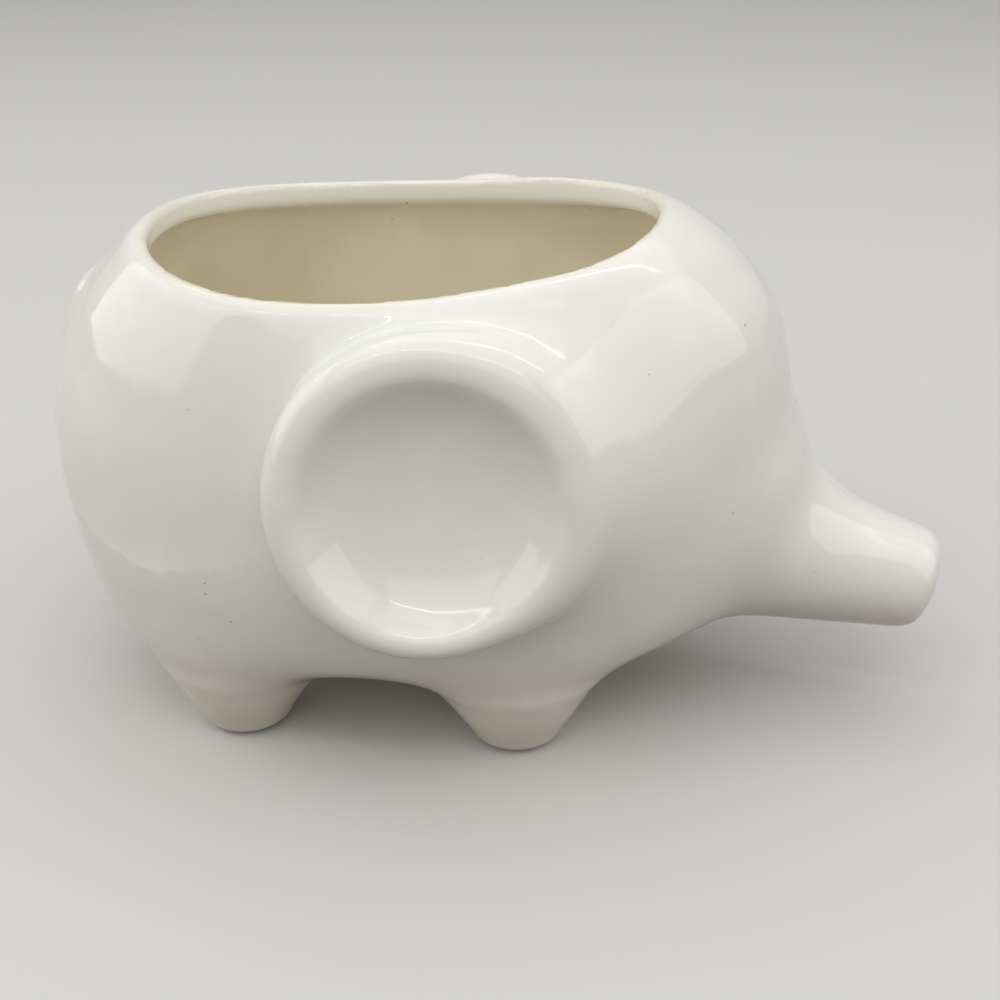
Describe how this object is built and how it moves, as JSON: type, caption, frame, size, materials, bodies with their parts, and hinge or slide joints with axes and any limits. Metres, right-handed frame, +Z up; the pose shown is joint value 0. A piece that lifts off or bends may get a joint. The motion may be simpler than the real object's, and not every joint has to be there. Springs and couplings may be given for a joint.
{
  "type": "animal shaped planter",
  "caption": "White glazed ceramic planter in the shape of a standing elephant, with an open back, dished round ears and a closed trunk.",
  "frame": {"origin": "middle of the overall length and width, on the surface that the feet stand on", "axes": "+X towards the trunk tip, +Y to the elephant's left, +Z up; Y = 0 is the plane of symmetry"},
  "size_m": [0.1792, 0.1204, 0.1038],
  "materials": {
    "white_glaze": "gloss clear-white glaze over a pale buff earthenware body"
  },
  "bodies": {
    "root": {"body_shell": "white_glaze", "trunk": "white_glaze", "tail": "white_glaze", "ear_left": "white_glaze", "ear_right": "white_glaze", "front_foot_left": "white_glaze", "front_foot_right": "white_glaze", "rear_foot_left": "white_glaze", "rear_foot_right": "white_glaze"}
  },
  "joints": []
}
